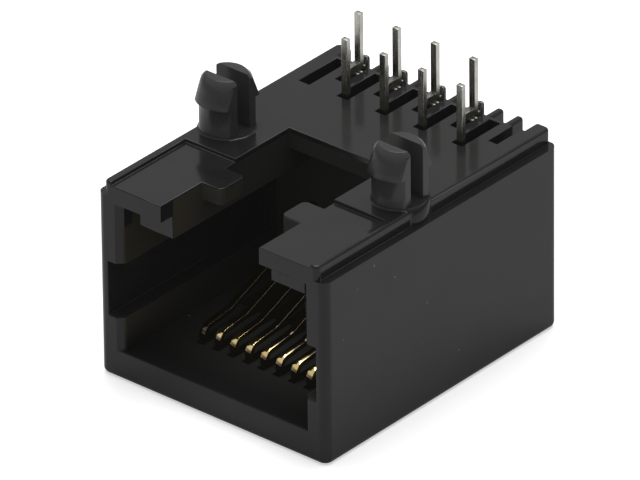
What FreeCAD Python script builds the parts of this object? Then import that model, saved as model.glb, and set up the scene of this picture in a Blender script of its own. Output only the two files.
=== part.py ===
"""Right-angle modular jack for a circuit board: one moulded housing and eight formed contacts.

The jack lies as it is photographed, with its board side and solder tails up and its flat back down.
X runs across the plug opening, Y runs into the jack from its mating face, and Z runs up towards the board.
The origin is the middle of the underside. Heights are measured from the underside, and lengths named
"from the face" are measured from the mating face. All sizes are millimetres.
"""
import FreeCAD, Part
import math
import os
from types import SimpleNamespace

import Sketcher
from FreeCAD import Placement, Rotation, Vector

DRIVING_SIZES = (
    # Outer form of the housing
    ("body_width", 15.1, "housing across"),
    ("body_depth", 18.4, "housing, mating face to back"),
    ("body_height", 11.4, "underside to board face"),
    ("side_height", 10.55, "underside to the ledge along each side"),
    ("side_ledge", 0.5, "width of that ledge"),
    ("corner_radius", 0.5, "upright corners"),
    ("plate_radius", 0.3, "upright corners of the plate"),
    ("board_edge_radius", 0.15, "edge round the board face"),
    ("recess_depth", 0.2, "shallow recess in front of the posts"),
    ("recess_length", 5.8, "recess, from the face"),
    ("rim_width", 0.48, "rim left beside the recess"),
    ("plate_thickness", 1.2, "wall under the board face"),
    ("base_edge_radius", 0.3, "edge round the underside"),
    # Plug opening
    ("side_wall", 1.55, "walls beside the plug opening"),
    ("floor_height", 1.66, "floor of the opening"),
    ("ceiling_height", 8.9, "underside of the two guide ribs"),
    ("cavity_depth", 12.2, "opening, from the face"),
    ("lead_in", 0.35, "chamfer on the side walls at the face"),
    ("rib_pocket", 0.55, "gap between a guide rib and the side wall"),
    ("rib_setback", 0.9, "guide rib starts, from the face"),
    ("groove_wall", 0.65, "walls beside the side grooves"),
    ("groove_low", 3.55, "lower edge of the side grooves"),
    ("groove_high", 6.7, "upper edge of the side grooves"),
    # Latch opening in the board face
    ("latch_width", 6.5, "latch channel"),
    ("latch_length", 10.0, "latch opening, from the face"),
    ("catch_gap", 3.9, "gap between the two latch catches"),
    ("catch_start", 3.2, "catches start, from the face"),
    ("catch_length", 1.85, "catches along the channel"),
    ("catch_radius", 0.35, "corners of the catches"),
    # Solder tails and the slots that carry them
    ("tail_pitch", 1.27, "column to column"),
    ("row_gap", 2.54, "near row to far row"),
    ("near_row", 14.4, "near row of tails, from the face"),
    ("tail_length", 3.3, "tails above the board face"),
    ("near_slot_width", 0.7, "slots of the near row"),
    ("near_slot_start", 14.07, "slots of the near row, from the face"),
    ("far_slot_width", 0.56, "slots of the far row"),
    ("far_slot_start", 15.37, "slots of the far row, from the face"),
    ("slot_web", 0.2, "wall between the near slots and the comb"),
    ("comb_tooth", 0.45, "teeth along the back edge"),
    ("comb_length", 1.1, "teeth, from the back"),
    ("comb_drop", 3.0, "depth of the gaps between the teeth"),
    ("tooth_radius", 0.18, "corners of the teeth"),
    # Contacts
    ("contact_pitch", 1.016, "springs in the opening"),
    ("strip_width", 0.38, "contact strip"),
    ("strip_thickness", 0.28, "contact strip"),
    ("shoulder_front", 1.0, "shoulders, ahead of the middle of the far tails"),
    ("shoulder_height", 0.48, "shoulders above the board face"),
    ("shoulder_corner", 0.15, "bevel on the front corner of the shoulders"),
    ("shoulder_drop", 2.0, "shoulders and prongs below the board face"),
    ("prong_back", 0.5, "back of the prongs, behind the middle of the far tails"),
    ("prong_foot", 0.22, "foot of the prongs along Y"),
    ("prong_tip", 0.08, "tip of the prongs along Y"),
    ("prong_height", 0.58, "prongs above the board face"),
    ("prong_notch", 0.15, "notch between tail and prong, above the board face"),
    ("strip_clearance", 0.06, "strip to the channel that holds it"),
    ("bend_radius", 0.5, "middle of the strip, at its bends"),
    ("nose_middle", 4.0, "middle of the front bend, from the face"),
    ("knee_place", 5.5, "knee of the spring, from the face"),
    ("knee_rise", 0.2, "spring from its front bend to its knee"),
    ("knee_radius", 1.5, "middle of the strip, at the knee"),
    ("spring_angle", 21.5, "slope of the spring, degrees"),
    ("spring_end", 12.9, "free end of the spring, from the face"),
    ("run_height", 1.45, "middle of the strip under the opening"),
    ("fan_front", 7.9, "strips spread from here, from the face"),
    ("fan_back", 11.8, "strips have spread by here, from the face"),
    ("tray_front", 7.5, "open tray in the floor, from the face"),
    ("nose_room", 0.35, "floor channels in front of the springs"),
    ("comb_room", 0.4, "slots behind and above the free ends"),
    # Board posts
    ("post_spacing", 11.43, "post to post"),
    ("post_to_row", 6.35, "posts to the near row of tails"),
    ("post_diameter", 2.9, "shaft of a post"),
    ("post_across", 2.24, "post over its two flats"),
    ("post_height", 3.2, "post above the board face"),
    ("post_split", 0.94, "slit through a post"),
    ("split_floor", 0.15, "floor of the slit and foot of the flats above the board face"),
    ("barb_reach", 0.22, "barb beyond the shaft"),
    ("barb_height", 1.75, "underside of the barb above the board face"),
    ("barb_tip_inset", 0.15, "top of the barb inside the shaft"),
    ("post_top_edge", 0.25, "bevel round the top of a post"),
    ("post_foot", 0.12, "flare at the foot of a post"),
)
CONTACTS = 8
NEAR_SLOTS = 5
FAR_SLOTS = 5
OVERLAP = 0.5

doc = FreeCAD.newDocument("ModularJack")


class Size:
    """A length that knows both its value and the expression that gives it from the sheet."""

    def __init__(self, value, text):
        self.value = value
        self.text = text

    def __add__(self, other):
        other = as_size(other)
        return Size(self.value + other.value, f"({self.text} + {other.text})")

    def __sub__(self, other):
        other = as_size(other)
        return Size(self.value - other.value, f"({self.text} - {other.text})")

    def __mul__(self, factor):
        factor = as_size(factor)
        return Size(self.value * factor.value, f"({self.text} * {factor.text})")

    def __truediv__(self, divisor):
        return Size(self.value / divisor, f"({self.text} / {divisor})")

    def __neg__(self):
        return Size(-self.value, f"(0 - {self.text})")


def as_size(number):
    return number if isinstance(number, Size) else Size(float(number), str(number))


def make_sheet():
    """Writes the driving sizes to the sheet and returns them by name."""
    sheet = doc.addObject("Spreadsheet::Sheet", "Sizes")
    sizes = {}
    for row, (name, value, note) in enumerate(DRIVING_SIZES, 1):
        sheet.set(f"A{row}", str(value))
        sheet.setAlias(f"A{row}", name)
        sheet.set(f"B{row}", note)
        sizes[name] = Size(value, f"Sizes.{name}")
    doc.recompute()
    return SimpleNamespace(**sizes)


size = make_sheet()
ZERO = Size(0.0, "0")
FACE = -size.body_depth / 2
BACK = size.body_depth / 2


def from_face(length):
    """The Y of a place that is measured from the mating face."""
    return FACE + length


# Places that several pieces share
plate_half = size.body_width / 2 - size.side_ledge
opening_half = size.body_width / 2 - size.side_wall
groove_half = size.body_width / 2 - size.groove_wall
plate_underside = size.body_height - size.plate_thickness
far_row = size.near_row + size.row_gap
post_row = size.near_row - size.post_to_row
comb_root = size.body_depth - size.comb_length
channel_width = size.strip_width + size.strip_clearance * 2
channel_floor = size.run_height - size.strip_thickness / 2 - size.strip_clearance
channel_roof = size.run_height + size.strip_thickness / 2 + size.strip_clearance
spring_slope = math.tan(math.radians(size.spring_angle.value))
nose_height = size.run_height + size.bend_radius * 2
knee_height = nose_height + size.knee_rise
spring_run = size.spring_end - size.knee_place
spring_rise = Size(spring_run.value * spring_slope, f"({spring_run.text} * tan(Sizes.spring_angle * 1 deg))")
spring_top = knee_height + spring_rise


def new_body(name):
    body = doc.addObject("PartDesign::Body", name)
    body.Label = name
    return body


def new_sketch(body, name, plane_role, offset=ZERO):
    """A sketch on one of the body's own origin planes, moved along that plane's normal."""
    plane = next(feature for feature in body.Origin.OriginFeatures if feature.Role == plane_role)
    sketch = body.newObject("Sketcher::SketchObject", name)
    sketch.AttachmentSupport = (plane, [""])
    sketch.MapMode = "FlatFace"
    sketch.AttachmentOffset = Placement(Vector(0, 0, offset.value), Rotation())
    sketch.setExpression("AttachmentOffset.Base.z", offset.text)
    doc.recompute()
    return sketch


def hold_point(sketch, shape_index, point_index, x, y):
    """Holds a point of the sketch at a place that follows the sheet."""
    for kind, axis, place in (("DistanceX", -2, x), ("DistanceY", -1, y)):
        if place is ZERO:
            sketch.addConstraint(Sketcher.Constraint("PointOnObject", shape_index, point_index, axis))
            continue
        constraint = Sketcher.Constraint(kind, -1, 1, shape_index, point_index, place.value)
        index = sketch.addConstraint(constraint)
        sketch.setExpression(f"Constraints[{index}]", place.text)


def draw_outline(sketch, points):
    """A closed outline of straight edges through the given places."""
    start = sketch.GeometryCount
    count = len(points)
    corners = [Vector(x.value, y.value, 0) for x, y in points]
    for index in range(count):
        sketch.addGeometry(Part.LineSegment(corners[index], corners[(index + 1) % count]))
    for index, (x, y) in enumerate(points):
        following = start + (index + 1) % count
        sketch.addConstraint(Sketcher.Constraint("Coincident", start + index, 2, following, 1))
        hold_point(sketch, start + index, 1, x, y)


def draw_box(sketch, x_low, y_low, x_high, y_high):
    draw_outline(sketch, ((x_low, y_low), (x_high, y_low), (x_high, y_high), (x_low, y_high)))


def draw_mirrored(sketch, half):
    """A closed outline from its right half, given upwards, and the same points mirrored."""
    draw_outline(sketch, list(half) + [(-x, y) for x, y in reversed(half)])


def draw_bent_path(sketch, corners, radii):
    """An open path of straight runs through the corners, joined by tangent arcs of the given radii."""
    places = [Vector(x.value, y.value, 0) for x, y in corners]
    leave, arrive = [places[0]], []
    arcs = []
    for before, corner, after, radius in zip(places, places[1:], places[2:], radii):
        incoming = (corner - before).normalize()
        outgoing = (after - corner).normalize()
        turn = incoming.getAngle(outgoing)
        reach = radius.value * math.tan(turn / 2)
        left_turn = incoming.cross(outgoing).z > 0
        side = Vector(-incoming.y, incoming.x, 0) * (1 if left_turn else -1)
        first, last = corner - incoming * reach, corner + outgoing * reach
        centre = first + side * radius.value
        begin, end = (first, last) if left_turn else (last, first)
        angles = [math.atan2(point.y - centre.y, point.x - centre.x) for point in (begin, end)]
        if angles[1] < angles[0]:
            angles[1] += 2 * math.pi
        circle = Part.Circle(centre, Vector(0, 0, 1), radius.value)
        arcs.append((Part.ArcOfCircle(circle, angles[0], angles[1]), left_turn))
        arrive.append(first)
        leave.append(last)
    arrive.append(places[-1])
    lines = [sketch.addGeometry(Part.LineSegment(a, b)) for a, b in zip(leave, arrive)]
    hold_point(sketch, lines[0], 1, *corners[0])
    hold_point(sketch, lines[-1], 2, *corners[-1])
    for number, ((arc, left_turn), radius) in enumerate(zip(arcs, radii)):
        line, following = lines[number], lines[number + 1]
        bend = sketch.addGeometry(arc)
        enter, leave_by = (1, 2) if left_turn else (2, 1)
        corner = sketch.addGeometry(Part.Point(places[number + 1]), True)
        hold_point(sketch, corner, 1, *corners[number + 1])
        sketch.addConstraint(Sketcher.Constraint("PointOnObject", corner, 1, line))
        sketch.addConstraint(Sketcher.Constraint("PointOnObject", corner, 1, following))
        sketch.addConstraint(Sketcher.Constraint("Tangent", line, 2, bend, enter))
        sketch.addConstraint(Sketcher.Constraint("Tangent", bend, leave_by, following, 1))
        index = sketch.addConstraint(Sketcher.Constraint("Radius", bend, radius.value))
        sketch.setExpression(f"Constraints[{index}]", radius.text)
    doc.recompute()


def extrude(body, kind, sketch, name, length, midplane=False):
    """A Pad or a Pocket of a sketch, whose length follows the sheet."""
    feature = body.newObject(f"PartDesign::{kind}", name)
    feature.Profile = sketch
    feature.Length = length.value
    feature.setExpression("Length", length.text)
    if midplane:
        feature.SideType = "Symmetric"
    doc.recompute()
    return feature


def repeat(body, original, name, count, spacing):
    """Copies a feature along X."""
    pattern = body.newObject("PartDesign::LinearPattern", name)
    pattern.Originals = [original]
    axis = next(feature for feature in body.Origin.OriginFeatures if feature.Role == "X_Axis")
    pattern.Direction = (axis, [""])
    pattern.Occurrences = count
    pattern.Length = spacing.value * (count - 1)
    pattern.setExpression("Length", f"{spacing.text} * {count - 1}")
    body.Tip = pattern
    doc.recompute()
    return pattern


def dress(body, kind, name, base, radius, wanted):
    """A Fillet or a Chamfer on the edges of the base that the test picks."""
    edges = [f"Edge{number}" for number, edge in enumerate(base.Shape.Edges, 1) if wanted(edge)]
    feature = body.newObject(f"PartDesign::{kind}", name)
    feature.Base = (base, edges)
    sized = "Radius" if kind == "Fillet" else "Size"
    setattr(feature, sized, radius.value)
    feature.setExpression(sized, radius.text)
    body.Tip = feature
    doc.recompute()
    return feature


def near(first, second):
    return abs(first - second) < 1e-4


def is_upright(edge):
    """True for a straight edge that runs along Z."""
    ends = [vertex.Point for vertex in edge.Vertexes]
    return len(ends) == 2 and near(ends[0].x, ends[1].x) and near(ends[0].y, ends[1].y)


def is_level(edge, height):
    box = edge.BoundBox
    return near(box.ZMin, height) and near(box.ZMax, height)


def opening_side(top):
    """Right-hand side of the plug opening, from the floor up, with the groove in its wall."""
    return [(opening_half, size.floor_height), (opening_half, size.groove_low), (groove_half, size.groove_low),
            (groove_half, size.groove_high), (opening_half, size.groove_high), (opening_half, top)]


def make_block(body):
    """Outer block of the housing and the narrower plate on it that lies on the board."""
    sketch = new_sketch(body, "block_outline", "XY_Plane")
    half = size.body_width / 2
    draw_box(sketch, -half, FACE, half, BACK)
    block = extrude(body, "Pad", sketch, "block", size.side_height)
    dress(body, "Fillet", "block_corners", block, size.corner_radius, is_upright)
    sketch = new_sketch(body, "plate_outline", "XY_Plane", size.side_height)
    draw_box(sketch, -plate_half, FACE, plate_half, BACK)
    plate = extrude(body, "Pad", sketch, "plate", size.body_height - size.side_height)

    def plate_corner(edge):
        return is_upright(edge) and edge.BoundBox.ZMax > size.side_height.value + OVERLAP

    rounded = dress(body, "Fillet", "plate_corners", plate, size.plate_radius, plate_corner)
    edged = dress(body, "Fillet", "plate_edge", rounded, size.board_edge_radius,
                  lambda edge: is_level(edge, size.body_height.value))
    dress(body, "Fillet", "underside_edge", edged, size.base_edge_radius, lambda edge: is_level(edge, 0.0))
    sketch = new_sketch(body, "recess_outline", "XY_Plane", size.body_height)
    rim = plate_half - size.rim_width
    draw_box(sketch, -rim, FACE - OVERLAP, rim, from_face(size.recess_length))
    extrude(body, "Pocket", sketch, "recess", size.recess_depth)


def make_opening(body):
    """Plug opening with its side grooves, guide ribs and latch channel, cut from the mating face."""
    sketch = new_sketch(body, "mouth_outline", "XZ_Plane", -FACE)
    draw_mirrored(sketch, opening_side(plate_underside))
    extrude(body, "Pocket", sketch, "mouth", size.rib_setback)
    sketch = new_sketch(body, "opening_outline", "XZ_Plane", -FACE)
    rib_inside = size.latch_width / 2
    rib_outside = opening_half - size.rib_pocket
    half = opening_side(plate_underside)
    half += [(rib_outside, plate_underside), (rib_outside, size.ceiling_height),
             (rib_inside, size.ceiling_height), (rib_inside, plate_underside)]
    draw_mirrored(sketch, half)
    opening = extrude(body, "Pocket", sketch, "opening", size.cavity_depth)

    def mouth_wall(edge):
        middle = edge.CenterOfMass
        on_wall = near(abs(middle.x), opening_half.value)
        return is_upright(edge) and on_wall and near(middle.y, FACE.value)

    dress(body, "Chamfer", "lead_in_edges", opening, size.lead_in, mouth_wall)
    sketch = new_sketch(body, "latch_outline", "XY_Plane", size.body_height)
    channel, gap = size.latch_width / 2, size.catch_gap / 2
    catch_end = size.catch_start + size.catch_length
    half = [(channel, FACE - OVERLAP), (channel, from_face(size.catch_start)),
            (gap, from_face(size.catch_start)), (gap, from_face(catch_end)),
            (channel, from_face(catch_end)), (channel, from_face(size.latch_length))]
    draw_mirrored(sketch, half)
    latch = extrude(body, "Pocket", sketch, "latch_opening", size.plate_thickness + OVERLAP)

    def catch_corner(edge):
        middle = edge.CenterOfMass
        tip = near(abs(middle.x), size.catch_gap.value / 2)
        return is_upright(edge) and tip and middle.z > plate_underside.value

    dress(body, "Fillet", "catch_corners", latch, size.catch_radius, catch_corner)


def make_slots(body):
    """Two staggered rows of slots for the tails, and the comb along the back edge."""
    first_near = -size.tail_pitch * (NEAR_SLOTS - 0.5)
    rows = (("near", first_near, size.near_slot_width, size.near_slot_start, comb_root - size.slot_web, NEAR_SLOTS),
            ("far", first_near + size.tail_pitch, size.far_slot_width, size.far_slot_start,
             comb_root + OVERLAP, FAR_SLOTS))
    for name, column, width, start, end, count in rows:
        sketch = new_sketch(body, f"{name}_slot_outline", "XY_Plane", size.body_height)
        draw_box(sketch, column - width / 2, from_face(start), column + width / 2, from_face(end))
        slot = extrude(body, "Pocket", sketch, f"{name}_slot", size.body_height - channel_floor)
        repeat(body, slot, f"{name}_slots", count, size.tail_pitch * 2)
    sketch = new_sketch(body, "comb_outline", "XY_Plane", size.body_height)
    half_gap = (size.tail_pitch - size.comb_tooth) / 2
    draw_box(sketch, first_near - half_gap, from_face(comb_root), first_near + half_gap, BACK + OVERLAP)
    comb = extrude(body, "Pocket", sketch, "comb_gap", size.comb_drop)
    combed = repeat(body, comb, "comb_gaps", NEAR_SLOTS + FAR_SLOTS, size.tail_pitch)

    def tooth_corner(edge):
        inside = abs(edge.CenterOfMass.x) < size.tail_pitch.value * NEAR_SLOTS
        return is_upright(edge) and inside and near(edge.CenterOfMass.y, BACK.value)

    dress(body, "Fillet", "tooth_corners", combed, size.tooth_radius, tooth_corner)


def make_channels(body):
    """Channels in the floor that hold the strips, and the slots that guide their free ends."""
    channel_depth = size.floor_height - channel_floor
    half_channel = channel_width / 2
    nose_start = size.nose_middle - size.bend_radius - size.nose_room
    first = -size.contact_pitch * (CONTACTS - 1) / 2
    sketch = new_sketch(body, "floor_channel_outline", "XY_Plane", size.floor_height)
    draw_box(sketch, first - half_channel, from_face(nose_start),
             first + half_channel, from_face(size.tray_front + OVERLAP))
    channel = extrude(body, "Pocket", sketch, "floor_channel", channel_depth)
    repeat(body, channel, "floor_channels", CONTACTS, size.contact_pitch)
    first_tail = -size.tail_pitch * (CONTACTS - 1) / 2
    tray_half = half_channel - first_tail
    sketch = new_sketch(body, "tray_outline", "XY_Plane", size.floor_height)
    draw_box(sketch, -tray_half, from_face(size.tray_front), tray_half, from_face(size.cavity_depth))
    extrude(body, "Pocket", sketch, "tray", channel_depth)
    sketch = new_sketch(body, "tunnel_outline", "XY_Plane", channel_roof)
    draw_box(sketch, first_tail - half_channel, from_face(size.cavity_depth - OVERLAP),
             first_tail + half_channel, from_face(size.far_slot_start + OVERLAP))
    tunnel = extrude(body, "Pocket", sketch, "tunnel", channel_roof - channel_floor)
    repeat(body, tunnel, "tunnels", CONTACTS, size.tail_pitch)
    guide_top = spring_top + size.comb_room
    sketch = new_sketch(body, "guide_slot_outline", "XY_Plane", guide_top)
    draw_box(sketch, first - half_channel, from_face(size.cavity_depth - OVERLAP),
             first + half_channel, from_face(size.spring_end + size.comb_room))
    guide = extrude(body, "Pocket", sketch, "guide_slot", guide_top - size.floor_height)
    repeat(body, guide, "guide_slots", CONTACTS, size.contact_pitch)


def make_posts(body):
    """Two split board posts whose barbed heads snap behind the board."""
    column = size.post_spacing / 2
    row = from_face(post_row)
    radius = size.post_diameter / 2
    top = size.body_height + size.post_height
    bevel = top - size.post_top_edge
    barb_low = size.body_height + size.barb_height
    foot_side = row + radius + size.post_foot
    side = row + radius
    head = side - size.barb_tip_inset
    sketch = new_sketch(body, "post_outline", "YZ_Plane", column)
    draw_outline(sketch, ((row, size.side_height), (foot_side, size.side_height), (foot_side, size.body_height),
                          (side, size.body_height + size.post_foot), (side, barb_low),
                          (side + size.barb_reach, barb_low), (head, bevel),
                          (head - size.post_top_edge, top), (row, top)))
    axis = sketch.addGeometry(Part.LineSegment(Vector(row.value, size.side_height.value, 0),
                                               Vector(row.value, top.value, 0)), True)
    hold_point(sketch, axis, 1, row, size.side_height)
    hold_point(sketch, axis, 2, row, top)
    doc.recompute()
    post = body.newObject("PartDesign::Revolution", "post")
    post.Profile = sketch
    post.ReferenceAxis = (sketch, ["Axis0"])
    doc.recompute()
    sketch = new_sketch(body, "post_cut_outline", "XY_Plane", top + OVERLAP)
    reach = radius + size.barb_reach + OVERLAP
    half_split, half_across = size.post_split / 2, size.post_across / 2
    draw_box(sketch, column - half_across, row - half_split, column + half_across, row + half_split)
    draw_box(sketch, column - reach, row - reach, column - half_across, row + reach)
    draw_box(sketch, column + half_across, row - reach, column + reach, row + reach)
    cuts = extrude(body, "Pocket", sketch, "post_cuts", size.post_height - size.split_floor + OVERLAP)
    mirror = body.newObject("PartDesign::Mirrored", "posts")
    mirror.Originals = [post, cuts]
    plane = next(feature for feature in body.Origin.OriginFeatures if feature.Role == "YZ_Plane")
    mirror.MirrorPlane = (plane, [""])
    body.Tip = mirror
    doc.recompute()


def make_housing():
    body = new_body("housing")
    make_block(body)
    make_opening(body)
    make_slots(body)
    make_channels(body)
    make_posts(body)
    return body


def sweep_strip(body, name, path, profile):
    """Strip of the profile sketch along the path sketch."""
    pipe = body.newObject("PartDesign::AdditivePipe", name)
    pipe.Profile = profile
    pipe.Spine = (path, [f"Edge{number}" for number in range(1, len(path.Shape.Edges) + 1)])
    doc.recompute()
    return pipe


def make_contact(number):
    """One contact: tail, upright, run under the opening, front bend and spring, of one formed strip."""
    body = new_body(f"contact_{number}")
    place = number - (CONTACTS + 1) / 2
    tail_column = size.tail_pitch * place
    spring_column = size.contact_pitch * place
    row = from_face(far_row if number % 2 else size.near_row)
    half_width, half_thick = size.strip_width / 2, size.strip_thickness / 2
    tail_end = size.body_height + size.tail_length

    path = new_sketch(body, "tail_path", "YZ_Plane", tail_column)
    draw_bent_path(path, ((row, tail_end), (row, size.run_height), (from_face(size.fan_back), size.run_height)),
                   (size.bend_radius * 0.9,))
    profile = new_sketch(body, "tail_section", "XY_Plane", tail_end)
    draw_box(profile, tail_column - half_width, row - half_thick, tail_column + half_width, row + half_thick)
    doc.recompute()
    sweep_strip(body, "tail", path, profile)
    if number % 2:
        shoulder = new_sketch(body, "shoulder_outline", "YZ_Plane", tail_column)
        low = size.body_height - size.shoulder_drop
        top = size.body_height + size.shoulder_height
        notch = size.body_height + size.prong_notch
        prong_top = size.body_height + size.prong_height
        front, rear = row - size.shoulder_front, row + size.prong_back
        draw_outline(shoulder, ((front, low), (rear, low), (rear, prong_top), (rear - size.prong_tip, prong_top),
                                (rear - size.prong_foot, notch), (row, notch), (row, top),
                                (front + size.shoulder_corner, top), (front, top - size.shoulder_corner)))
        extrude(body, "Pad", shoulder, "shoulder", size.strip_width, midplane=True)

    fan = new_sketch(body, "fan_outline", "XY_Plane", size.run_height - half_thick)
    draw_outline(fan, ((spring_column - half_width, from_face(size.fan_front)),
                       (spring_column + half_width, from_face(size.fan_front)),
                       (tail_column + half_width, from_face(size.fan_back)),
                       (tail_column - half_width, from_face(size.fan_back))))
    extrude(body, "Pad", fan, "fan", size.strip_thickness)

    path = new_sketch(body, "spring_path", "YZ_Plane", spring_column)
    nose = from_face(size.nose_middle - size.bend_radius)
    draw_bent_path(path, ((from_face(size.fan_front), size.run_height), (nose, size.run_height),
                          (nose, nose_height), (from_face(size.knee_place), knee_height),
                          (from_face(size.spring_end), spring_top)),
                   (size.bend_radius, size.bend_radius * 0.9, size.knee_radius))
    profile = new_sketch(body, "spring_section", "XZ_Plane", -from_face(size.fan_front))
    draw_box(profile, spring_column - half_width, size.run_height - half_thick,
             spring_column + half_width, size.run_height + half_thick)
    doc.recompute()
    sweep_strip(body, "spring", path, profile)
    return body


def check_and_export(pieces):
    """Stops on any failed object or shape, then writes one file for each piece."""
    doc.recompute()
    for thing in doc.Objects:
        if "Invalid" in thing.State or "Error" in thing.State:
            raise RuntimeError(f"{thing.Name} failed: {thing.State}")
    for piece in pieces:
        shape = piece.Shape
        if shape.isNull() or not shape.isValid() or len(shape.Solids) != 1:
            raise RuntimeError(f"{piece.Label} is not one sound solid")
    os.makedirs("parts", exist_ok=True)
    for piece in pieces:
        piece.Shape.exportStep(f"parts/{piece.Label}.step")
        print(f"{piece.Label}: {piece.Shape.Volume:.2f} cubic millimetres")


check_and_export([make_housing()] + [make_contact(number) for number in range(1, CONTACTS + 1)])
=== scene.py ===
import math

import bmesh
import bpy
from mathutils import Matrix, Vector


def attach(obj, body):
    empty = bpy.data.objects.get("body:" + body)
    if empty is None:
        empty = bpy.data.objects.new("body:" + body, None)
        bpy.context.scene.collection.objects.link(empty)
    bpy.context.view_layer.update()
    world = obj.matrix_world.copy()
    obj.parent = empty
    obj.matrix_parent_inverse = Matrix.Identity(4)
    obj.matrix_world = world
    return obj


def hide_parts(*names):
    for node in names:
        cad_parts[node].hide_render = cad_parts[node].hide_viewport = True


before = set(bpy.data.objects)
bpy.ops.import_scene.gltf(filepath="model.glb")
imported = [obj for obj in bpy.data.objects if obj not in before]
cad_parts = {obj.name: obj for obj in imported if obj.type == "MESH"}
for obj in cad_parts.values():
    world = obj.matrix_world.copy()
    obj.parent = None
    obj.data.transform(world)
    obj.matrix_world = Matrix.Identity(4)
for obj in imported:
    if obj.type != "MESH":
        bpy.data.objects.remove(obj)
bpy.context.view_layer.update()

# The jack lies with its board side and solder tails up: X runs across the plug opening, Y into the jack and
# Z to the board. Sizes are in millimetres, with Y counted from the mating face.
MM = 0.001
DEPTH, HEIGHT = 18.4, 11.4
PLATE_BASE, LEDGE, RECESS = 10.2, 10.55, 11.2
COMB_ROOT = 17.3

# Plug opening, latch opening and guide ribs
OPENING_HALF, OPENING_FLOOR, SLOTS_END = 6.0, 1.66, 13.7
LATCH_HALF = 3.25
RIB_START, RIB_BASE = 0.9, 8.9

# Board posts
POST_COLUMN, POST_ROW, POST_REACH = 5.715, 8.05, 1.9

# Contacts
CONTACTS = 8
TAIL_PITCH, FAR_ROW, STRIP_HALF = 1.27, 16.94, 0.19
BEND_ROW, BEND_HEIGHT, FIRST_SPRING_EDGE = 4.0, 2.45, -3.2
UPRIGHT_START, UPRIGHT_FULL = 6.0, 7.5
DIMPLE_SIZE, DIMPLES_AHEAD, DIMPLE_SINK = (0.20, 0.13, 0.08), (0.42, 0.14), 0.04

# Eased edges
POST_EASE, HOUSING_EASE, STRIP_EASE, EASE_STEPS = 0.03, 0.05, 0.015, 2
WELD_GAP = 0.0002
FLAT_ANGLE, SHARP_ANGLE = math.radians(0.6), math.radians(40)
STRIP_SMOOTH, DIMPLE_SMOOTH = math.radians(50), math.radians(80)


def mm(x, y, z):
    """A place in millimetres, with Y counted from the mating face, as a point of the frame."""
    return Vector((x * MM, (y - DEPTH / 2) * MM, z * MM))


# Shader parts

def new_material(name):
    material = bpy.data.materials.new(name)
    material.use_nodes = True
    tree = material.node_tree
    tree.nodes.clear()
    output = tree.nodes.new("ShaderNodeOutputMaterial")
    shader = tree.nodes.new("ShaderNodeBsdfPrincipled")
    tree.links.new(shader.outputs["BSDF"], output.inputs["Surface"])
    return material, tree, shader


def noise(tree, source, scale, detail=2.0, roughness=0.5):
    node = tree.nodes.new("ShaderNodeTexNoise")
    node.inputs["Scale"].default_value = scale
    node.inputs["Detail"].default_value = detail
    node.inputs["Roughness"].default_value = roughness
    tree.links.new(source, node.inputs["Vector"])
    return node.outputs["Fac"]


def remap(tree, source, low, high, to_low, to_high):
    node = tree.nodes.new("ShaderNodeMapRange")
    node.inputs["From Min"].default_value = low
    node.inputs["From Max"].default_value = high
    node.inputs["To Min"].default_value = to_low
    node.inputs["To Max"].default_value = to_high
    tree.links.new(source, node.inputs["Value"])
    return node.outputs["Result"]


def rise(tree, source, low, high):
    """Zero up to the low value and one past the high one."""
    return remap(tree, source, low, high, 0.0, 1.0)


def fall(tree, source, low, high):
    """One up to the low value and zero past the high one."""
    return remap(tree, source, low, high, 1.0, 0.0)


def blend(tree, factor, first, second):
    """Mixes two colours, each given as a value or as another node's output."""
    node = tree.nodes.new("ShaderNodeMix")
    node.data_type = "RGBA"
    tree.links.new(factor, node.inputs["Factor"])
    for name, colour in (("A", first), ("B", second)):
        socket = [i for i in node.inputs if i.name == name and i.type == "RGBA"][0]
        if isinstance(colour, tuple):
            socket.default_value = (*colour, 1.0)
        else:
            tree.links.new(colour, socket)
    return [o for o in node.outputs if o.type == "RGBA"][0]


def blend_values(tree, factor, first, second):
    node = tree.nodes.new("ShaderNodeMix")
    for name, value in (("Factor", factor), ("A", first), ("B", second)):
        tree.links.new(value, node.inputs[name])
    return node.outputs["Result"]


def operate(tree, kind, first, second):
    """A sum on two values, each a number or another node's output."""
    node = tree.nodes.new("ShaderNodeMath")
    node.operation = kind
    for socket, value in zip(node.inputs, (first, second)):
        if isinstance(value, (int, float)):
            socket.default_value = value
        else:
            tree.links.new(value, socket)
    return node.outputs["Value"]


def product(tree, first, *others):
    result = first
    for other in others:
        result = operate(tree, "MULTIPLY", result, other)
    return result


def larger(tree, first, second):
    return operate(tree, "MAXIMUM", first, second)


def bump(tree, shader, height, distance, strength):
    node = tree.nodes.new("ShaderNodeBump")
    node.inputs["Distance"].default_value = distance * MM
    node.inputs["Strength"].default_value = strength
    tree.links.new(height, node.inputs["Height"])
    tree.links.new(node.outputs["Normal"], shader.inputs["Normal"])


def object_place(tree):
    return tree.nodes.new("ShaderNodeTexCoord").outputs["Object"]


def jack_axes(tree, place):
    """The place as X, Y from the mating face and Z, each in millimetres."""
    scaled = tree.nodes.new("ShaderNodeVectorMath")
    scaled.operation = "MULTIPLY_ADD"
    tree.links.new(place, scaled.inputs[0])
    scaled.inputs[1].default_value = (1 / MM, 1 / MM, 1 / MM)
    scaled.inputs[2].default_value = (0.0, DEPTH / 2, 0.0)
    parts = tree.nodes.new("ShaderNodeSeparateXYZ")
    tree.links.new(scaled.outputs["Vector"], parts.inputs["Vector"])
    return parts.outputs["X"], parts.outputs["Y"], parts.outputs["Z"]


# Materials

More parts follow.
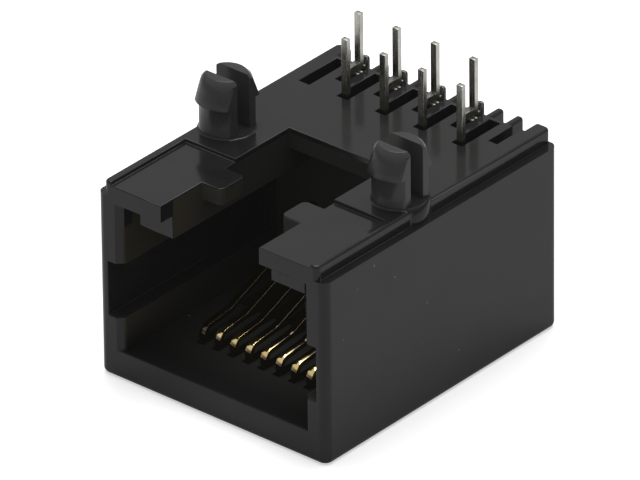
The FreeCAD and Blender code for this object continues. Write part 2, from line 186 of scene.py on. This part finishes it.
def inside_opening(tree, x, y, z):
    """One inside the plug and latch openings, and zero outside them and on the fronts of the guide ribs."""
    across = operate(tree, "ABSOLUTE", x, 0.0)
    plug = product(tree, fall(tree, across, OPENING_HALF + 0.02, OPENING_HALF + 0.12),
                   fall(tree, z, PLATE_BASE - 0.05, PLATE_BASE + 0.05))
    latch = product(tree, fall(tree, across, LATCH_HALF + 0.03, LATCH_HALF + 0.07),
                    fall(tree, z, RECESS - 0.10, RECESS - 0.07))
    behind_face = rise(tree, y, 0.1, 0.2)
    ahead_of_back = fall(tree, y, SLOTS_END, SLOTS_END + 0.5)
    behind_rib_fronts = rise(tree, y, RIB_START + 0.02, RIB_START + 0.10)
    under_ribs = fall(tree, z, RIB_BASE - 0.10, RIB_BASE - 0.03)
    off_rib_fronts = larger(tree, behind_rib_fronts, under_ribs)
    return product(tree, larger(tree, plug, latch), behind_face, ahead_of_back, off_rib_fronts)


def dust_specks(tree, place):
    """One on a few small round specks and zero elsewhere."""
    cells = tree.nodes.new("ShaderNodeTexVoronoi")
    cells.inputs["Scale"].default_value = 520.0
    tree.links.new(place, cells.inputs["Vector"])
    chosen = tree.nodes.new("ShaderNodeSeparateColor")
    tree.links.new(cells.outputs["Color"], chosen.inputs["Color"])
    near_middle = fall(tree, cells.outputs["Distance"], 0.020, 0.045)
    few_cells = rise(tree, chosen.outputs["Red"], 0.90, 0.94)
    return product(tree, near_middle, few_cells)


def moulded_plastic():
    """Black moulded plastic: fine polished grain, faint flow marks, a few specks of dust, matt inside,
    painted light and shade inside the openings and on the board posts, and a faint painted glow.
    """
    material, tree, shader = new_material("black_moulded_plastic")
    place = object_place(tree)
    x, y, z = jack_axes(tree, place)
    flow = noise(tree, place, 260.0, 3.0, 0.6)
    grain = noise(tree, place, 9000.0, 2.0, 0.5)
    inside = inside_opening(tree, x, y, z)
    post = rise(tree, z, HEIGHT + 0.10, HEIGHT + 0.25)

    outer = blend(tree, rise(tree, flow, 0.35, 0.65), (0.0085, 0.0087, 0.0092), (0.0120, 0.0122, 0.0128))
    # Painted light and shade inside the openings: darker on the floor just inside the mouth, a warm painted
    # reflection of the gold springs on the walls above it, and lighter deeper in, standing in for light that
    # reaches the shade there.
    above_floor = rise(tree, z, OPENING_FLOOR + 0.14, OPENING_FLOOR + 1.54)
    entrance = blend(tree, above_floor, (0.007, 0.007, 0.007), (0.034, 0.029, 0.019))
    inner = blend(tree, rise(tree, y, 1.2, 5.7), entrance, (0.022, 0.022, 0.021))
    body = blend(tree, inside, outer, inner)
    # Painted light: the board posts are lighter than the rest of the same plastic, standing in for the light
    # they catch.
    body = blend(tree, post, body, (0.032, 0.032, 0.032))
    dust = product(tree, dust_specks(tree, place), 0.35)
    tree.links.new(blend(tree, dust, body, (0.30, 0.31, 0.33)), shader.inputs["Base Color"])

    sheen = remap(tree, flow, 0.3, 0.7, 0.10, 0.16)
    matt = larger(tree, product(tree, inside, 0.28), product(tree, post, 0.12))
    tree.links.new(operate(tree, "ADD", sheen, matt), shader.inputs["Roughness"])
    tree.links.new(remap(tree, inside, 0.0, 1.0, 0.25, 0.01), shader.inputs["Specular IOR Level"])
    # A faint painted glow of the plastic itself, standing in for stray light, so deep shade is not fully
    # black.
    shader.inputs["Emission Color"].default_value = (1.0, 0.98, 0.94, 1.0)
    shader.inputs["Emission Strength"].default_value = 0.0035
    bump(tree, shader, grain, 0.0008, 0.4)
    return material


def formed_contact():
    """One strip: gold on its front bend, painted shade (dark metal) behind and below the bend and on the
    whole first spring, tin on the upright and the tail with painted shade at its foot, and a faint painted
    glow.
    """
    material, tree, shader = new_material("gold_and_tin_strip")
    place = object_place(tree)
    x, y, z = jack_axes(tree, place)
    cloud = rise(tree, noise(tree, place, 1500.0, 3.0, 0.6), 0.35, 0.65)
    drawn = tree.nodes.new("ShaderNodeMapping")
    drawn.inputs["Scale"].default_value = (22000.0, 1500.0, 900.0)
    tree.links.new(place, drawn.inputs["Vector"])
    streaks = noise(tree, drawn.outputs["Vector"], 1.0, 2.0, 0.5)

    gold = blend(tree, cloud, (0.80, 0.60, 0.26), (0.90, 0.72, 0.36))
    tin = blend(tree, cloud, (0.44, 0.43, 0.39), (0.58, 0.57, 0.53))
    # Painted shade: dark metal behind and below the front bend and on the whole first spring, where the
    # springs mirror only the dark inside of the jack.
    painted_shade_colour = blend(tree, cloud, (0.07, 0.058, 0.038), (0.10, 0.083, 0.055))
    behind_bend = rise(tree, y, BEND_ROW, BEND_ROW + 0.5)
    below_bend = fall(tree, z, BEND_HEIGHT - 0.23, BEND_HEIGHT - 0.13)
    first_strip = fall(tree, x, FIRST_SPRING_EDGE, FIRST_SPRING_EDGE + 0.1)
    painted_shade = larger(tree, behind_bend, larger(tree, below_bend, first_strip))
    spring = blend(tree, painted_shade, gold, painted_shade_colour)
    # Painted shade: the tail is darker at its foot, where it meets the board face.
    above_foot = rise(tree, z, HEIGHT + 0.5, HEIGHT + 1.0)
    tail = blend(tree, above_foot, (0.20, 0.20, 0.18), tin)
    upright = rise(tree, z, UPRIGHT_START, UPRIGHT_FULL)
    tree.links.new(blend(tree, upright, spring, tail), shader.inputs["Base Color"])

    polished = remap(tree, streaks, 0.3, 0.7, 0.05, 0.10)
    drawn_down = remap(tree, streaks, 0.3, 0.7, 0.16, 0.34)
    tree.links.new(blend_values(tree, upright, polished, drawn_down), shader.inputs["Roughness"])
    shader.inputs["Metallic"].default_value = 1.0
    # A faint painted glow of the metal itself, standing in for stray light in the shade.
    shader.inputs["Emission Color"].default_value = (1.0, 0.90, 0.66, 1.0)
    shader.inputs["Emission Strength"].default_value = 0.0042
    bump(tree, shader, streaks, 0.0012, 0.4)
    return material


def pale_floor():
    """A pale floor that looks white to the camera and keeps the jack's shadow."""
    material, tree, shader = new_material("pale_floor")
    place = object_place(tree)
    tone = rise(tree, noise(tree, place, 6.0), 0.3, 0.7)
    tree.links.new(blend(tree, tone, (0.73, 0.73, 0.73), (0.75, 0.75, 0.75)), shader.inputs["Base Color"])
    shader.inputs["Roughness"].default_value = 0.9
    shader.inputs["Specular IOR Level"].default_value = 0.1
    path = tree.nodes.new("ShaderNodeLightPath")
    shader.inputs["Emission Color"].default_value = (1.0, 1.0, 1.0, 1.0)
    tree.links.new(product(tree, path.outputs["Is Camera Ray"], 0.48), shader.inputs["Emission Strength"])
    return material


# Shapes

def piece_from(work, name):
    """A new object that holds the finished mesh."""
    mesh = bpy.data.meshes.new(name)
    work.to_mesh(mesh)
    work.free()
    piece = bpy.data.objects.new(name, mesh)
    bpy.context.scene.collection.objects.link(piece)
    return piece


def refine(node, name, easings):
    """The node's own form with its picked sharp edges eased, as a piece that stands for the node."""
    work = bmesh.new()
    work.from_mesh(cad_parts[node].data)
    bmesh.ops.remove_doubles(work, verts=work.verts, dist=WELD_GAP * MM)
    bmesh.ops.dissolve_limit(work, angle_limit=FLAT_ANGLE, use_dissolve_boundaries=False,
                             verts=work.verts, edges=work.edges, delimit=set())
    for radius, picked in easings:
        sharp = [e for e in work.edges
                 if len(e.link_faces) == 2 and e.calc_face_angle(0.0) > SHARP_ANGLE and picked(e)]
        bmesh.ops.bevel(work, geom=sharp, offset=radius * MM, offset_type="OFFSET", segments=EASE_STEPS,
                        profile=0.5, affect="EDGES", clamp_overlap=False, loop_slide=True)
    bmesh.ops.recalc_face_normals(work, faces=work.faces)
    return piece_from(work, name)


def shade(piece, material, smooth_angle=STRIP_SMOOTH):
    """One material, and smooth shading that keeps flat faces flat between their eased edges."""
    piece.data.materials.clear()
    piece.data.materials.append(material)
    work = bmesh.new()
    work.from_mesh(piece.data)
    for face in work.faces:
        face.smooth = True
        face.material_index = 0
    for edge in work.edges:
        edge.smooth = len(edge.link_faces) == 2 and edge.calc_face_angle(0.0) < smooth_angle
    work.to_mesh(piece.data)
    work.free()
    weighted = piece.modifiers.new("weighted_normals", "WEIGHTED_NORMAL")
    weighted.keep_sharp = True
    weighted.weight = 100
    bpy.context.view_layer.update()
    evaluated = piece.evaluated_get(bpy.context.evaluated_depsgraph_get())
    finished = bpy.data.meshes.new_from_object(evaluated)
    piece.modifiers.clear()
    piece.data = finished


def middle_of(edge):
    """The middle of an edge: how far it is from the middle plane and the mating face, and how high."""
    middle = (edge.verts[0].co + edge.verts[1].co) / 2
    return abs(middle.x / MM), middle.y / MM + DEPTH / 2, middle.z / MM


def near_post(across, depth):
    """True beside the axis of a board post."""
    return math.hypot(across - POST_COLUMN, depth - POST_ROW) < POST_REACH


def on_post_head(edge):
    """True for an edge of a board post, clear of its foot."""
    across, depth, height = middle_of(edge)
    return near_post(across, depth) and height > HEIGHT + 0.3


def seen_on_housing(edge):
    """True for an edge of the housing that can be seen from outside and has room for an eased corner."""
    across, depth, height = middle_of(edge)
    at_ledge_end = abs(height - LEDGE) < 0.2 and min(depth, DEPTH - depth) < 0.6
    in_comb = depth > COMB_ROOT - 0.3 and height < LEDGE
    at_comb_root = all(abs(corner.co.y / MM + DEPTH / 2 - COMB_ROOT) < 0.05 for corner in edge.verts)
    if near_post(across, depth) or at_ledge_end or in_comb or at_comb_root:
        return False
    if height > PLATE_BASE - 0.1:
        ahead_of_comb = depth < COMB_ROOT - 0.1
        near_board_face = height > HEIGHT - 0.5
        return ahead_of_comb or near_board_face
    near_mating_face = depth < 1.5
    on_outer_wall = across > OPENING_HALF
    return near_mating_face or on_outer_wall


def any_edge(edge):
    """True for each edge of a strip, since all of them can be seen."""
    return True


def add_piece(piece, replaced=None):
    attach(piece, "root")
    if replaced:
        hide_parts(replaced)


def add_dimples(number, metal):
    """Two pressed dimples beside a far tail, level with the board face, where the strip grips its slot."""
    work = bmesh.new()
    column = (number - (CONTACTS + 1) / 2) * TAIL_PITCH
    for ahead in DIMPLES_AHEAD:
        place = Matrix.Translation(mm(column + STRIP_HALF, FAR_ROW - ahead, HEIGHT - DIMPLE_SINK))
        form = Matrix.Diagonal((*[size * MM for size in DIMPLE_SIZE], 1.0))
        bmesh.ops.create_uvsphere(work, u_segments=24, v_segments=12, radius=1.0, matrix=place @ form)
    piece = piece_from(work, f"strip_dimples_{number}")
    shade(piece, metal, DIMPLE_SMOOTH)
    add_piece(piece)


def build_jack():
    """The housing and its eight strips. The odd ones end in the far row of tails and have dimples."""
    plastic, metal = moulded_plastic(), formed_contact()
    shell = refine("housing", "housing_shell", ((POST_EASE, on_post_head), (HOUSING_EASE, seen_on_housing)))
    shade(shell, plastic)
    add_piece(shell, "housing")
    for number in range(1, CONTACTS + 1):
        strip = refine(f"contact_{number}", f"contact_strip_{number}", ((STRIP_EASE, any_edge),))
        shade(strip, metal)
        add_piece(strip, f"contact_{number}")
        in_far_row = number % 2 == 1
        if in_far_row:
            add_dimples(number, metal)


# Stage, lights and camera, in metres

FLOOR_HALF, FLOOR_GAP = 3.0, 0.00002
WORLD_STRENGTH, HORIZON_END, SKY_START = 0.66, 0.25, 0.45
HORIZON_COLOUR, SKY_COLOUR = (0.35, 0.35, 0.35), (1.0, 1.0, 1.0)
PANEL_PLACE, PANEL_SIZE, PANEL_POWER = Vector((-0.05, 0.10, 0.45)), 0.35, 1.6
PICTURE_WIDTH, SENSOR_WIDTH = 640.0, 36.0


def build_stage():
    work = bmesh.new()
    bmesh.ops.create_grid(work, x_segments=1, y_segments=1, size=FLOOR_HALF)
    floor = piece_from(work, "floor")
    floor.location = (0.0, 0.0, -FLOOR_GAP)
    floor.data.materials.append(pale_floor())


def add_panel():
    """A soft square lamp that faces the jack."""
    data = bpy.data.lights.new("top_panel", "AREA")
    data.shape = "SQUARE"
    data.size = PANEL_SIZE
    data.energy = PANEL_POWER
    lamp = bpy.data.objects.new("top_panel", data)
    bpy.context.scene.collection.objects.link(lamp)
    lamp.location = PANEL_PLACE
    lamp.rotation_euler = (-PANEL_PLACE).to_track_quat("-Z", "Y").to_euler()


def light_scene():
    """Even light from above, darker towards the horizon, and one soft lamp."""
    world = bpy.data.worlds.new("studio")
    bpy.context.scene.world = world
    world.use_nodes = True
    tree = world.node_tree
    background = tree.nodes["Background"]
    background.inputs["Strength"].default_value = WORLD_STRENGTH
    parts = tree.nodes.new("ShaderNodeSeparateXYZ")
    tree.links.new(tree.nodes.new("ShaderNodeTexCoord").outputs["Generated"], parts.inputs["Vector"])
    above_horizon = rise(tree, parts.outputs["Z"], HORIZON_END, SKY_START)
    tree.links.new(blend(tree, above_horizon, HORIZON_COLOUR, SKY_COLOUR), background.inputs["Color"])
    add_panel()


def aim_camera():
    """The photograph's own camera, with its angles in degrees and its shifts and distance in millimetres."""
    azimuth, elevation, roll = (math.radians(a) for a in (40.51952, 29.90875, -0.61356))
    focal, shift_right, shift_up, distance = 11841.82355, 5.43198, 9.04681, 598.8779
    back = Vector((math.sin(azimuth) * math.cos(elevation), -math.cos(azimuth) * math.cos(elevation),
                   math.sin(elevation)))
    level = Vector((0.0, 0.0, 1.0)).cross(back).normalized()
    upright = back.cross(level)
    right = level * math.cos(roll) + upright * math.sin(roll)
    up = upright * math.cos(roll) - level * math.sin(roll)
    place = right * shift_right + up * shift_up + back * distance
    data = bpy.data.cameras.new("camera")
    data.sensor_width = SENSOR_WIDTH
    data.lens = focal / PICTURE_WIDTH * SENSOR_WIDTH
    data.clip_start = 0.01
    data.clip_end = 20.0
    camera = bpy.data.objects.new("camera", data)
    bpy.context.scene.collection.objects.link(camera)
    turn = Matrix((right, up, back)).transposed().to_4x4()
    camera.matrix_world = Matrix.Translation(mm(place.x, place.y, place.z)) @ turn
    bpy.context.scene.camera = camera


aim_camera()
build_stage()
light_scene()
build_jack()
bpy.context.scene.view_settings.view_transform = "Standard"
